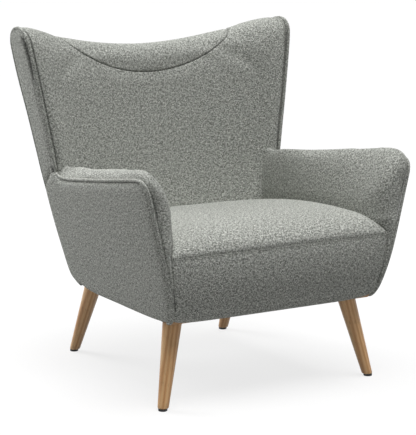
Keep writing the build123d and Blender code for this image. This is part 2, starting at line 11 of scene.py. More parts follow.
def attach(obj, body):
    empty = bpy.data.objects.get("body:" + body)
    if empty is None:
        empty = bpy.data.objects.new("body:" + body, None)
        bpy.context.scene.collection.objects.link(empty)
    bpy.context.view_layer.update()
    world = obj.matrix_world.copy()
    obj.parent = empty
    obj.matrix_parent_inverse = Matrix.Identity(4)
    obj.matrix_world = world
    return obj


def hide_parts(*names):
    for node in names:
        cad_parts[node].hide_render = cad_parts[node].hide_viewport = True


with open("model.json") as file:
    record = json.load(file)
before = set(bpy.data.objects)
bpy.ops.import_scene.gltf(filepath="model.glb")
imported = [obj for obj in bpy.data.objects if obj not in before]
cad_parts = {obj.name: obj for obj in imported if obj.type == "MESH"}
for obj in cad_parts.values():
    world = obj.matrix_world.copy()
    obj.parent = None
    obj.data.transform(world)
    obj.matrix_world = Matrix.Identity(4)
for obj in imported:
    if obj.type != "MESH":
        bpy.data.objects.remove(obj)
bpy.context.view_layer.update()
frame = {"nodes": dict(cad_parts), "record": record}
scene = bpy.context.scene
scene.view_settings.view_transform = "Standard"
print("frame loaded")

# Sides, heights and leans that the pieces share, in millimetres. The front faces -Y.
chair = {
    "bottom": 208, "seatSeam": 375, "front": -384, "frontTuck": 31,
    "armHalf": 330.5, "armLean": tan(radians(13.7)),
    "wingHalf": 340, "wingLean": tan(radians(9.6)), "wingY": 160, "wingZ": 520,
    "wingFrom": (40, 150),  # along y, where the arm's plane turns into the wing's
    "innerHalf": 286, "innerPlan": 0.011, "planLean": tan(radians(2.3)),
    "backSet": 272, "backLevel": 741, "backSlope": 0.19076, "backHollow": 100, "backHalf": 392.94,
}

# Side view of the sewn edges as (y, z): from under the arm, up its front and back along its top
armEdge = [
    (-326, 213), (-341, 216.5), (-354, 228), (-365, 248), (-376.2, 290), (-381.8, 330), (-384, 375),
    (-384, 440), (-384, 506), (-383, 533.5), (-375.5, 550.5), (-359.5, 560), (-335, 561), (-240, 547.5),
    (-120, 530), (0, 514), (80, 504), (118, 500.5), (144, 501.5), (160, 508.5), (170, 517),
]
armCorner, armMeet = 10, 19  # places in the list: the front corner, and where the wing begins
# Up the wing's front, over its top and down the chair's rear edge
wingEdge = [
    (159, 516), (161.5, 545), (166, 590), (171, 650), (177.5, 710), (183.5, 765), (189, 806),
    (193.8, 834), (199.5, 849), (210, 861.5), (225.5, 870), (247, 873), (272, 869.5),
    (291, 859.5), (304, 843), (309, 824), (300, 745), (280, 660), (262, 565), (251, 500),
    (242, 455), (239, 400), (234.5, 350), (226, 300), (217, 257), (204, 231), (187, 216), (166, 209),
]
wingFrontCorner, wingRearCorner, wingHeel, rearCorner = 9, 13, 20, 25  # places in that list
# Under the wing, from the arm's top back to the rear edge
wingSeam = [(159, 512), (176, 511.5), (190, 505.5), (207, 492), (227, 473), (242, 455)]


def armX(y, z):
    lean = chair["armLean"] * (z - chair["seatSeam"])
    return chair["armHalf"] + lean - chair["planLean"] * (y - chair["front"])


def wingX(y, z):
    lean = chair["wingLean"] * (z - chair["wingZ"])
    return chair["wingHalf"] + lean - chair["planLean"] * (y - chair["wingY"])


def ease(low, high, value):  # from 0 at the low end to 1 at the high end, without a kink
    share = min(1, max(0, (value - low) / (high - low)))
    return share * share * (3 - 2 * share)


def sideX(y, z):  # outer face of the chair: the arm's plane, turning into the wing's
    blend = ease(*chair["wingFrom"], y)
    return armX(y, z) * (1 - blend) + min(armX(y, z), wingX(y, z)) * blend


def innerX(y):  # inside wall of an arm
    return chair["innerHalf"] - chair["innerPlan"] * (y - chair["front"])


def frontY(z):  # front of the body, curving in below the seat seam
    drop = max(0, chair["seatSeam"] - z)
    full = chair["seatSeam"] - chair["bottom"]
    radius = (full * full + chair["frontTuck"] ** 2) / (2 * chair["frontTuck"])
    return chair["front"] + radius - sqrt(radius * radius - drop * drop)


def backFront(x, z):  # front of the back: leaning, and hollow from side to side
    lean = chair["backSlope"] * (z - chair["backLevel"])
    return chair["backSet"] + lean - chair["backHollow"] * (x / chair["backHalf"]) ** 2


lineSteps = 8  # between two listed points of a smooth line


def smoothLine(points, steps=lineSteps):  # a smooth line through the points, in steps between each two
    spots = [Vector((0, *p)) if len(p) == 2 else Vector(p) for p in points]
    last = len(spots) - 1
    turns = [(spots[min(i + 1, last)] - spots[max(i - 1, 0)]).normalized() for i in range(last + 1)]
    line = []
    for i in range(last):
        reach = (spots[i + 1] - spots[i]).length / 3
        first, second = spots[i] + turns[i] * reach, spots[i + 1] - turns[i + 1] * reach
        line += interpolate_bezier(spots[i], first, second, spots[i + 1], steps + 1)[:-1]
    return line + [spots[-1]]


def between(line, first, last):  # the part of a smooth line from one listed point to another
    return line[first * lineSteps:last * lineSteps + 1]


armLine, wingLine, wingSeamLine = smoothLine(armEdge), smoothLine(wingEdge), smoothLine(wingSeam)


def along(line, share):  # the point at a share of a measured line's length
    spots, marks = line
    want = min(1, max(0, share)) * marks[-1]
    after = min(bisect_right(marks, want), len(marks) - 1)
    span = marks[after] - marks[after - 1]
    return spots[after - 1].lerp(spots[after], (want - marks[after - 1]) / span if span else 0)


def measured(spots):  # a line with its running length
    marks = [0]
    for start, end in zip(spots, spots[1:]):
        marks.append(marks[-1] + (end - start).length)
    return spots, marks


def fourSided(bottom, top, front, rear):  # point inside four edges, from front to rear and bottom to top
    bottom, top, front, rear = measured(bottom), measured(top), measured(front), measured(rear)

    def spot(a, b):
        low, high, fore, aft = along(bottom, a), along(top, a), along(front, b), along(rear, b)
        corners = (along(bottom, 0) * (1 - a) + along(bottom, 1) * a) * (1 - b)
        corners += (along(top, 0) * (1 - a) + along(top, 1) * a) * b
        return low * (1 - b) + high * b + fore * (1 - a) + aft * a - corners

    return spot


def crowd(share, pull):  # crowds even steps towards both ends
    return share - pull * sin(2 * pi * share) / (2 * pi)


def evenly(steps):  # shares from 0 to 1
    return [i / steps for i in range(steps + 1)]


def colour(code):  # sRGB hex to linear
    parts = [int(code[i:i + 2], 16) / 255 for i in (1, 3, 5)]
    return tuple(c / 12.92 if c <= 0.04045 else ((c + 0.055) / 1.055) ** 2.4 for c in parts) + (1,)


def node(tree, kind, settings=None, links=None):  # adds a node, sets it up and links what feeds it
    made = tree.nodes.new(kind)
    for key, value in (settings or {}).items():
        if isinstance(key, str) and hasattr(made, key):
            setattr(made, key, value)
        else:
            made.inputs[key].default_value = value
    for key, source in (links or {}).items():
        tree.links.new(source, made.inputs[key])
    return made


def material(name, sockets):  # a principled material with its constant sockets set
    made = bpy.data.materials.new(name)
    made.use_nodes = True
    tree = made.node_tree
    shader = tree.nodes["Principled BSDF"]
    for key, value in sockets.items():
        shader.inputs[key].default_value = value
    return made, tree, shader


# Woven polyester upholstery cloth: a plain weave of uneven yarns, so the eye sees a mottled grain with
# lighter and darker slubs along both thread directions, no gloss, and a faint fuzz at the rim. A mesh
# attribute paints shade along the seams, darkening the cloth there towards a near-black colour.
cloth = {
    "dark": "#6f716b", "middle": "#aeb0aa", "light": "#e4e6df", "stops": (0.46, 0.53, 0.605),
    # painted shade along the seams: its near-black colour, how strongly it is laid on, and its width
    "seam": "#2f302d", "seamShade": 0.75, "seamWidth": 2.5,  # mm
    "yarn": 3.4,        # mm between yarns; the real 1.7 mm would not show at the picture's size
    "slub": 3.0,        # length of a thick place in a yarn against its width
    "wobble": 0.3,      # yarns, how far one strays from its line
    "bump": 0.45,       # mm, height of a yarn
    "section": 0.6, "dip": 0.6, "arch": 0.8,  # a yarn's roundness, and its height between and over the others
    # what makes a yarn's tone: its own slubs, flecks in the cloth, which yarn is on top, and its height,
    # which paints shade where a yarn lies low between the others
    "slubShare": 0.5, "fleckShare": 0.35, "topShare": 0.05, "heightShadeShare": 0.2,
}


def wovenCloth(name, turn=0.0):
    made, tree, shader = material(name, {
        "Roughness": 0.95, "Specular IOR Level": 0.15, "Sheen Weight": 0.08, "Sheen Roughness": 0.5,
    })
    place = node(tree, "ShaderNodeTexCoord")
    perYarn = 1000 / cloth["yarn"]
    yarns = node(tree, "ShaderNodeMapping", {
        "Scale": (perYarn, perYarn, perYarn), "Rotation": (0, 0, radians(turn)),
    }, {"Vector": place.outputs["UV"]})
    stray = node(tree, "ShaderNodeTexNoise", {"Scale": 0.33, "Detail": 2.0}, {"Vector": yarns.outputs[0]})
    centred = node(tree, "ShaderNodeVectorMath", {"operation": "SUBTRACT", 1: (0.5, 0.5, 0.5)},
                   {0: stray.outputs["Color"]})
    moved = node(tree, "ShaderNodeVectorMath", {"operation": "MULTIPLY_ADD", 1: (2 * cloth["wobble"],) * 3},
                 {0: centred.outputs[0], 2: yarns.outputs[0]})
    split = node(tree, "ShaderNodeSeparateXYZ", links={0: moved.outputs[0]})
    over = node(tree, "ShaderNodeTexChecker", {
        "Scale": 1.0, "Color1": (1, 1, 1, 1), "Color2": (0, 0, 0, 1),
    }, {"Vector": moved.outputs[0]})
    heights, tones = [], []
    thin = 1 / cloth["slub"]
    for first, second, long in (("X", "Y", (1, thin, 1)), ("Y", "X", (thin, 1, 1))):
        halfYarn = {"operation": "PINGPONG", 1: 0.5}
        across = node(tree, "ShaderNodeMath", halfYarn, {0: split.outputs[first]})
        lengthways = node(tree, "ShaderNodeMath", halfYarn, {0: split.outputs[second]})
        arch = node(tree, "ShaderNodeMath", {"operation": "MULTIPLY_ADD", 1: cloth["arch"], 2: cloth["dip"]},
                    {0: lengthways.outputs[0]})
        section = node(tree, "ShaderNodeMath", {"operation": "POWER", 1: cloth["section"]},
                       {0: across.outputs[0]})
        height = node(tree, "ShaderNodeMath", {"operation": "MULTIPLY"},
                      {0: section.outputs[0], 1: arch.outputs[0]})
        heights.append(height.outputs[0])
        stretch = node(tree, "ShaderNodeMapping", {"Scale": long}, {"Vector": moved.outputs[0]})
        tone = node(tree, "ShaderNodeTexNoise", {"Scale": 1.1, "Detail": 3.0, "Roughness": 0.65},
                    {"Vector": stretch.outputs[0]})
        tones.append(tone.outputs["Fac"])
    height, slubs = [
        node(tree, "ShaderNodeMix", {"data_type": "FLOAT"}, {0: over.outputs["Fac"], 2: under, 3: above})
        for under, above in (heights, tones)
    ]
    fleck = node(tree, "ShaderNodeTexNoise", {"Scale": 0.8, "Detail": 3.0, "Roughness": 0.7},
                 {"Vector": moved.outputs[0]})
    # the tone adds up these shares, the height's one as painted shade low between the yarns
    shaded = None
    for source, share in ((slubs.outputs[0], "slubShare"), (fleck.outputs["Fac"], "fleckShare"),
                          (over.outputs["Fac"], "topShare"), (height.outputs[0], "heightShadeShare")):
        added = {0: source, 2: shaded.outputs[0]} if shaded else {0: source}
        shaded = node(tree, "ShaderNodeMath", {"operation": "MULTIPLY_ADD", 1: cloth[share], 2: 0.0}, added)
    ramp = node(tree, "ShaderNodeValToRGB", links={0: shaded.outputs[0]})
    stops = ramp.color_ramp.elements
    stops.new(cloth["stops"][1])
    for stop, at, tone in zip(stops, cloth["stops"], ("dark", "middle", "light")):
        stop.position, stop.color = at, colour(cloth[tone])
    # painted shade along the seams, mixed in towards the near-black colour by the mesh attribute
    sewn = node(tree, "ShaderNodeAttribute", {"attribute_name": "paintedSeamShade"})
    deep = node(tree, "ShaderNodeMath", {"operation": "MULTIPLY", 1: cloth["seamShade"]},
                {0: sewn.outputs["Fac"]})
    shown = node(tree, "ShaderNodeMix", {"data_type": "RGBA", 7: colour(cloth["seam"])},
                 {0: deep.outputs[0], 6: ramp.outputs[0]})
    tree.links.new(shown.outputs[2], shader.inputs["Base Color"])
    raised = node(tree, "ShaderNodeBump", {"Strength": 0.6, "Distance": cloth["bump"] / 1000},
                  {"Height": shaded.outputs[0]})
    tree.links.new(raised.outputs[0], shader.inputs["Normal"])
    return made


upholstery = wovenCloth("wovenPolyesterCloth")
pipingCloth = wovenCloth("biasCutPipingCloth", turn=45.0)

# European oak, turned and clear-lacquered: warm straw brown, darker growth lines and short open pores along
# the leg, with a soft satin shine
oak = {
    "pale": "#ecbf89", "body": "#dfab74", "line": "#c58f5a", "pore": "#96673e", "stops": (0.05, 0.3, 0.62),
    "ring": 5.0, "ringLength": 120.0,     # mm
    "poreWidth": 0.9, "poreLength": 14.0,  # mm; drawn wider than the real 0.3 mm so that they show
}
oakWood, tree, shader = material("lacqueredOak", {
    "Roughness": 0.42, "IOR": 1.5, "Coat Weight": 0.15, "Coat Roughness": 0.3,
})
grain = node(tree, "ShaderNodeAttribute", {"attribute_name": "grain"})
rings = node(tree, "ShaderNodeMapping", {
    "Scale": (1000 / oak["ring"], 1000 / oak["ring"], 1000 / oak["ringLength"]),
}, {"Vector": grain.outputs["Vector"]})
bands = node(tree, "ShaderNodeTexWave", {
    "bands_direction": "X", "Scale": 0.16, "Distortion": 4.5, "Detail": 3.0, "Detail Scale": 0.7,
}, {"Vector": rings.outputs[0]})
cloudy = node(tree, "ShaderNodeTexNoise", {"Scale": 0.7, "Detail": 4.0}, {"Vector": rings.outputs[0]})
poresAt = node(tree, "ShaderNodeMapping", {
    "Scale": (1000 / oak["poreWidth"], 1000 / oak["poreWidth"], 1000 / oak["poreLength"]),
}, {"Vector": grain.outputs["Vector"]})
pores = node(tree, "ShaderNodeTexNoise", {"Scale": 0.8, "Detail": 2.0}, {"Vector": poresAt.outputs[0]})
lines = node(tree, "ShaderNodeMath", {"operation": "MULTIPLY"},
             {0: bands.outputs["Fac"], 1: cloudy.outputs["Fac"]})
toned = node(tree, "ShaderNodeValToRGB", links={0: lines.outputs[0]})
stops = toned.color_ramp.elements
stops.new(oak["stops"][1])
for stop, at, tone in zip(stops, oak["stops"], ("pale", "body", "line")):
    stop.position, stop.color = at, colour(oak[tone])
poreMask = node(tree, "ShaderNodeMapRange", {"From Min": 0.6, "From Max": 0.72, "To Max": 0.6},
                {"Value": pores.outputs["Fac"]})
poreColour = node(tree, "ShaderNodeMix", {"data_type": "RGBA", 7: colour(oak["pore"])},
                  {0: poreMask.outputs[0], 6: toned.outputs[0]})
tree.links.new(poreColour.outputs[2], shader.inputs["Base Color"])
pitted = node(tree, "ShaderNodeBump", {"Strength": 0.25, "Distance": 0.0003, "invert": True},
              {"Height": poreMask.outputs[0]})
tree.links.new(pitted.outputs[0], shader.inputs["Normal"])


def grainy(name, dark, light, size, sockets, stretch=(1, 1, 1), bump=0.0002):
    # two tones mottled over a surface, at a grain size in millimetres
    made, tree, shader = material(name, sockets)
    place = node(tree, "ShaderNodeTexCoord")
    scaled = node(tree, "ShaderNodeMapping", {"Scale": tuple(1000 / size / s for s in stretch)},
                  {"Vector": place.outputs["Object"]})
    mottle = node(tree, "ShaderNodeTexNoise", {"Scale": 1.0, "Detail": 4.0}, {"Vector": scaled.outputs[0]})
    toned = node(tree, "ShaderNodeMix", {"data_type": "RGBA", 6: colour(dark), 7: colour(light)},
                 {0: mottle.outputs["Fac"]})
    tree.links.new(toned.outputs[2], shader.inputs["Base Color"])
    raised = node(tree, "ShaderNodeBump", {"Strength": 0.4, "Distance": bump},
                  {"Height": mottle.outputs["Fac"]})
    tree.links.new(raised.outputs[0], shader.inputs["Normal"])
    return made


# Moulded black polyethylene glide: a dull black skin with fine spark texture
glidePlastic = grainy("mouldedPolyethylene", "#101010", "#1d1d1d", 0.8, {"Roughness": 0.55, "IOR": 1.5})
# Spunbonded polypropylene dust cloth: matt black with pressed fibre mottling
dustCloth = grainy("spunbondedDustCloth", "#0b0b0b", "#232323", 3.0, {"Roughness": 0.95, "Sheen Weight": 0.1})
# Sawn beech frame boards: pale pinkish brown with stretched flecks
beech = grainy("sawnBeech", "#a67c55", "#cfa77e", 6.0, {"Roughness": 0.7, "IOR": 1.5}, (1, 12, 1))
# Zinc-plated spring steel: grey metal with a faint cloudy plating
zinc = grainy("zincPlatedSteel", "#8f9296", "#b9bcc0", 4.0, {"Metallic": 1.0, "Roughness": 0.38},
              bump=0.00005)
# Elastic webbing: black rubber and polyester ribs across the strap
elastic = grainy("elasticWebbing", "#141415", "#2d2d30", 2.0, {"Roughness": 0.85}, (20, 1, 1))
print("materials ready")


def weaveMap(bm):  # lays the cloth's threads flat on each face, in metres
    layer = bm.loops.layers.uv.active or bm.loops.layers.uv.new("weave")
    for face in bm.faces:
        side = [abs(c) for c in face.normal]
        across = 1 if side[0] == max(side) else 0
        upward = 1 if side[2] == max(side) else 2
        for loop in face.loops:
            loop[layer].uv = (loop.vert.co[across], loop.vert.co[upward])


def addPiece(name, bm, finish, nodes=()):
    if not bm.loops.layers.uv:
        weaveMap(bm)
    mesh = bpy.data.meshes.new(name)
    bm.to_mesh(mesh)
    bm.free()
    mesh.shade_smooth()
    mesh.materials.append(finish)
    piece = bpy.data.objects.new(name, mesh)
    scene.collection.objects.link(piece)
    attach(piece, "root")
    if nodes:
        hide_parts(*nodes)
    return piece


def toMetres(bm):  # pieces are drawn in millimetres
    bmesh.ops.scale(bm, vec=(0.001, 0.001, 0.001), verts=bm.verts)


def padForm(columns, rows, front, behind, sewn=()):
    # a closed pad between a front and a rear grid, whose rims are bridged. A form gives the point at the
    # shares a across and b up, and the front is given painted shade along its sewn sides.
    bm = bmesh.new()
    shade = bm.verts.layers.float.new("paintedSeamShade")
    for spot in (front, behind):
        made = bmesh.ops.create_grid(bm, x_segments=columns, y_segments=rows, size=1)["verts"]
        for v in made:
            a, b = (v.co.x + 1) / 2, (v.co.y + 1) / 2
            v.co = spot(a, b)
            rims = {"start": (0, b), "end": (1, b), "bottom": (a, 0), "top": (a, 1)}
            if spot is front and sewn:
                gap = min((v.co - spot(*rims[name])).length for name in sewn)
                # painted shade, strongest at a sewn side
                v[shade] = exp(-(gap / cloth["seamWidth"]) ** 2)
    bmesh.ops.bridge_loops(bm, edges=[e for e in bm.edges if e.is_boundary])
    bmesh.ops.recalc_face_normals(bm, faces=bm.faces)
    toMetres(bm)
    bm.verts.index_update()
    return bm


def asDrawn(spot):
    return spot


def flipped(spot):  # the same form on the other side of the chair
    def mirrored(a, b):
        found = spot(a, b)
        return Vector((-found.x, found.y, found.z))
    return mirrored


chairSides = (("right", asDrawn), ("left", flipped))
swelling = {"frames": 14, "quality": 5, "stiffness": 15, "bending": 0.5}


def stuff(piece, columns, rows, fill):
    # cloth simulation: pressure swells the front of the pad between its held seams, up to a cap in metres
    total = (columns + 1) * (rows + 1)
    spots = piece.data.vertices
    rim = {v for e in piece.data.edges for v in e.vertices if max(e.vertices) >= total}
    held = piece.vertex_groups.new(name="held")
    held.add(sorted(rim | set(range(total, len(spots)))), 1.0, "REPLACE")
    rest = [v.co.copy() for v in spots]
    swell = piece.modifiers.new("swell", "CLOTH")
    swell.collision_settings.use_collision = False
    swell.collision_settings.use_self_collision = False
    settings = swell.settings
    settings.vertex_group_mass = "held"
    settings.quality = swelling["quality"]
    settings.tension_stiffness = settings.compression_stiffness = swelling["stiffness"]
    settings.bending_stiffness = swelling["bending"]
    settings.use_pressure = True
    settings.uniform_pressure_force = fill["pressure"]
    settings.effector_weights.gravity = 0
    for number in range(swelling["frames"]):
        scene.frame_set(number + 1)
    shown = piece.evaluated_get(bpy.context.evaluated_depsgraph_get())
    swollen = [v.co.copy() for v in shown.data.vertices]
    piece.modifiers.remove(swell)
    piece.vertex_groups.remove(held)
    farthest = 0
    for v, start, end in zip(spots, rest, swollen):
        move = end - start
        farthest = max(farthest, move.length)
        if move.length > fill["cap"]:
            move *= fill["cap"] / move.length
        v.co = start + move
    scene.frame_set(1)
    print(piece.name, "swelled by up to", round(farthest * 1000, 1), "mm")


def rounded(piece):
    smooth = piece.modifiers.new("rounded", "SUBSURF")
    smooth.levels = smooth.render_levels = 1
    return piece


# For the cloth pieces, a key that ends in At is the distance in mm over which that value builds up or fades
# Seat: a crowned pad that rolls down to the seam at its front
seat = {
    "columns": 76, "rows": 84, "crown": 435, "crownY": -230, "crownRun": 380, "rearDrop": 45,
    "edge": 377, "roll": 95, "rollShare": 0.17, "rollRadius": 60, "seamPull": 1.5, "seamWidth": 3,
    "sideDrop": 10, "sideBow": 4, "sideRoll": 30, "sideRollAt": 11, "lap": 8, "flare": 18, "flareAt": 34,
    "rearHalf": 285, "rearLevel": 415, "rearTuck": 20,
    "base": 348, "baseShare": 0.98, "baseSet": 10, "baseSetAt": 20,
    "fill": {"pressure": 0.4, "cap": 0.003},
}


def seatCrown(y):
    return seat["crown"] - seat["rearDrop"] * ((y - seat["crownY"]) / seat["crownRun"]) ** 2


def seatTop(a, b):
    s = 2 * a - 1  # from -1 at one arm to 1 at the other
    rollEnd = chair["front"] + seat["roll"]
    if b < seat["rollShare"]:
        turn = b / seat["rollShare"] * pi / 2
        roll = sin(turn)
        y = chair["front"] + seat["roll"] * (1 - cos(turn))
        z = seat["edge"] + (seatCrown(rollEnd) - seat["edge"]) * roll
        pull = seat["seamPull"] * exp(-seat["rollRadius"] * turn / seat["seamWidth"])
    else:
        rear = backFront(s * seat["rearHalf"], seat["rearLevel"]) + seat["rearTuck"]
        y = rollEnd + (b - seat["rollShare"]) / (1 - seat["rollShare"]) * (rear - rollEnd)
        z = seatCrown(y)
        roll, pull = 1, 0
    edge = innerX(y) + seat["lap"] + seat["flare"] * exp(-(y - chair["front"]) / seat["flareAt"])
    gap = (1 - abs(s)) * edge
    z -= roll * (seat["sideDrop"] * s ** seat["sideBow"] + seat["sideRoll"] * exp(-gap / seat["sideRollAt"]))
    return Vector((s * edge, y + pull, z))


def seatBase(a, b):
    top = seatTop(a, b)
    behind = seat["baseSet"] * exp((chair["front"] - top.y) / seat["baseSetAt"])
    return Vector((top.x * seat["baseShare"], top.y + behind, seat["base"]))


bm = padForm(seat["columns"], seat["rows"], seatTop, seatBase)
seatPad = addPiece("seatPad", bm, upholstery, ["seat_cover", "seat_foam"])
stuff(seatPad, seat["columns"], seat["rows"], seat["fill"])
rounded(seatPad)
print("seat done")

# Front border: the panel under the seat seam, with a soft bulge, turned under at the bottom
border = {
    "columns": 90, "rows": 34, "crowding": 0.8, "bulge": 5, "bulgeBow": 0.8, "bulgeEnds": 8, "topGap": 1,
    "under": 22, "underShare": 0.08, "turnRadius": 35, "turnShare": 0.36, "cornerLift": 10, "cornerAt": 28,
    "stripFoot": 3, "stripTop": 22, "stripTopZ": 379, "stripBow": 2.2, "lap": 1, "sunk": 7, "sunkAt": 5,
    "thick": 14, "rearShare": 0.985, "rearFront": -362, "rearLift": 3,
}


def stripWidth(z):  # width of the arm's front strip, from the piping to the seam of the border
    share = min(1, max(0, (z - chair["bottom"]) / (border["stripTopZ"] - chair["bottom"])))
    return border["stripFoot"] + (border["stripTop"] - border["stripFoot"]) * share ** border["stripBow"]


def borderFace(a, b):
    s = 2 * crowd(a, border["crowding"]) - 1
    radius = border["turnRadius"]
    turnTop = chair["bottom"] + radius
    foot = frontY(turnTop) + radius
    low = 1
    if b < border["underShare"]:
        y, z = foot + border["under"] * (1 - b / border["underShare"]), chair["bottom"]
    elif b < border["turnShare"]:
        turn = (b - border["underShare"]) / (border["turnShare"] - border["underShare"]) * pi / 2
        y, z = foot - radius * sin(turn), turnTop - radius * cos(turn)
        low = cos(turn)
    else:
        rise = (b - border["turnShare"]) / (1 - border["turnShare"])
        z = turnTop + rise * (chair["seatSeam"] - border["topGap"] - turnTop)
        bulge = border["bulge"] * sin(pi * rise) ** border["bulgeBow"] * (1 - s ** border["bulgeEnds"])
        y = frontY(z) - bulge + seat["seamPull"] * exp(-(chair["seatSeam"] - z) / seat["seamWidth"])
        low = 0
    edge = armX(frontY(z), z) - stripWidth(z) + border["lap"]
    gap = (1 - abs(s)) * edge
    z += low * border["cornerLift"] * exp(-gap / border["cornerAt"])
    return Vector((s * edge, y + border["sunk"] * exp(-gap / border["sunkAt"]), z))


def borderRear(a, b):
    face = borderFace(a, b)
    y = max(face.y + border["thick"], border["rearFront"])
    return Vector((face.x * border["rearShare"], y, max(face.z, chair["bottom"] + border["rearLift"])))


bm = padForm(border["columns"], border["rows"], borderFace, borderRear, ["start", "end"])
frontBorder = addPiece("frontBorder", bm, upholstery, ["front_border", "front_border_pad"])
rounded(frontBorder)
print("front border done")

# Back: a curved pad from wing to wing, rolled over the top, with a curved seam across its head
back = {
    "columns": 132, "rows": 84, "crowding": 0.65, "half": 390, "gap": 3, "thick": 30, "rearShare": 0.985,
    "foot": 372, "spring": 765, "ridge": 813, "ridgeY": 341, "ridgeRise": 68, "rearTop": 386, "wrap": 125.0,
    # powers of the curves across, and the shares of the way up where the top's bow and wider roll come in
    "bow": 2.0, "topBow": 3.3, "topFrom": (0.65, 0.97), "rise": 1.9, "topRoll": 30, "rollFrom": (0.65, 0.9),
    "edgeRoll": 9, "rollAt": 24, "sunk": 11, "sunkAt": 4,
    "seamHalf": 240, "seamLow": 741, "seamRise": 85, "seamReach": 300, "valley": 2.5, "valleyWidth": 16,
    # the sewn line across the head: its depth and width in mm, the reach and number of finer cuts beside it,
    # and how strong the shade painted along it is
    "seam": {"depth": 4.5, "width": 1.6, "near": 11, "cuts": 3, "shade": 0.5},
    "fill": {"pressure": 0.4, "cap": 0.003},
}


def crownLine(first, last, steps=24):  # round top of the back at its middle, by degrees from the front
    front = backFront(0, back["spring"])
    half = (back["rearTop"] - front) / 2
    turns = [radians(first + (last - first) * i / steps) for i in range(steps + 1)]
    rise = back["ridge"] - back["spring"]
    return [Vector((0, front + half - half * cos(t), back["spring"] + rise * sin(t))) for t in turns]


wingFoot = [(138, back["foot"]), (150, 450)]
backSide = measured(smoothLine(wingFoot + wingEdge[:wingRearCorner + 1]))
faceLine = [Vector((0, backFront(0, z), z)) for z in (back["foot"], back["spring"])]
backMiddle = measured(faceLine + crownLine(0, back["wrap"])[1:])


def acrossBack(middle, side, s, b, top):  # between the chair's middle line and its side line
    centre, edge = along(middle, b), along(side, b)
    bow = abs(s) ** (back["bow"] + (back["topBow"] - back["bow"]) * top)
    rise = abs(s) ** back["rise"]
    x = s * (sideX(edge.y, edge.z) - back["gap"])
    return Vector((x, centre.y + (edge.y - centre.y) * bow, centre.z + (edge.z - centre.z) * rise))


def outward(form, a, b, step=0.004):  # the way a form faces at a point
    first = form(min(1, a + step), b) - form(max(0, a - step), b)
    second = form(a, min(1, b + step)) - form(a, max(0, b - step))
    return first.cross(second).normalized()


def backPlain(a, b):
    return acrossBack(backMiddle, backSide, 2 * a - 1, b, ease(*back["topFrom"], b))


def fromSeam(spot):  # how far a point of the back lies from the curved head seam
    if abs(spot.x) > back["seamReach"]:
        return back["half"]
    radius = (back["seamHalf"] ** 2 + back["seamRise"] ** 2) / (2 * back["seamRise"])
    deep = sqrt(radius * radius - spot.x * spot.x)
    aside = abs(spot.x) / chair["backHalf"]
    height = spot.z
    # behind the ridge the cloth goes down again, so the height is counted on over it
    if spot.y > back["ridgeY"] - chair["backHollow"] * aside ** 2:
        height = 2 * (back["ridge"] + back["ridgeRise"] * aside ** back["rise"]) - spot.z
    return (height - back["seamLow"] - radius + deep) * deep / radius


def edgeRoll(form, gap, wide):  # a soft roll beside a sewn edge, and the dip into its seam
    return form["edgeRoll"] * gap / wide * exp(1 - gap / wide) - form["sunk"] * exp(-gap / form["sunkAt"])


def backFace(a, b):
    a = crowd(a, back["crowding"])
    spot = backPlain(a, b)
    gap = (1 - abs(2 * a - 1)) * back["half"]
    roll = edgeRoll(back, gap, back["rollAt"] + back["topRoll"] * ease(*back["rollFrom"], b))
    valley = back["valley"] * exp(-(fromSeam(spot) / back["valleyWidth"]) ** 2)
    return spot + outward(backPlain, a, b) * (roll - valley)


def backRear(a, b):
    a = crowd(a, back["crowding"])
    spot = backPlain(a, b) - outward(backPlain, a, b) * back["thick"]
    return Vector((spot.x * back["rearShare"], spot.y, spot.z))


def sewLine(piece, away, seam):  # presses a sewn line into a pad, whose mesh is first cut finer beside it
    bm = bmesh.new()
    bm.from_mesh(piece.data)
    shade = bm.verts.layers.float["paintedSeamShade"]
    near = {v for v in bm.verts if v.normal.z > v.normal.y and abs(away(v.co * 1000)) < seam["near"]}
    beside = [e for e in bm.edges if near.issuperset(e.verts)]
    bmesh.ops.subdivide_edges(bm, edges=beside, cuts=seam["cuts"], use_grid_fill=True)
    bm.normal_update()
    for v in bm.verts:
        if v.normal.z > v.normal.y:  # the front and top of the pad
            sunk = exp(-(away(v.co * 1000) / seam["width"]) ** 2)
            v.co -= v.normal * seam["depth"] / 1000 * sunk
            # painted shade along the sewn line, as far as its dip reaches
            v[shade] = max(v[shade], seam["shade"] * sunk)
    weaveMap(bm)
    bm.to_mesh(piece.data)
    bm.free()


bm = padForm(back["columns"], back["rows"], backFace, backRear, ["start", "end"])
backPad = addPiece("backPad", bm, upholstery, ["inside_back_cover", "head_panel", "back_pad"])
stuff(backPad, back["columns"], back["rows"], back["fill"])
sewLine(backPad, fromSeam, back["seam"])
rounded(backPad)
print("back done")

# Outside back: cloth stretched over the rear, from the top seam to under the body
outsideBack = {
    "columns": 112, "rows": 84, "crowding": 0.65, "half": 380, "thick": 8, "inShare": 0.985,
    "edgeRoll": 4, "rollAt": 14, "sunk": 5, "sunkAt": 5,
    # shares of the way down: where the edge's roll fades out, and how far the top's bow reaches
    "flatFrom": (0.82, 0.9), "topUntil": (0, 0.4),
    # side view down the middle from the round top, as (y, z), and where the side edge ends under the body
    "middle": [(354, 625), (312, 500), (272, 375), (236, 253), (222, 222), (191, 208), (172, 207.5)],
    "sideEnd": (150, 210),
}
rearEdge = between(wingLine, wingRearCorner, len(wingEdge) - 1)
rearSide = measured(rearEdge + [Vector((0, *outsideBack["sideEnd"]))])
rearDown = smoothLine([(back["rearTop"], back["spring"])] + outsideBack["middle"])
rearMiddle = measured(crownLine(back["wrap"], 180)[:-1] + rearDown)


def rearPlain(a, b):
    return acrossBack(rearMiddle, rearSide, 1 - 2 * a, b, 1 - ease(*outsideBack["topUntil"], b))


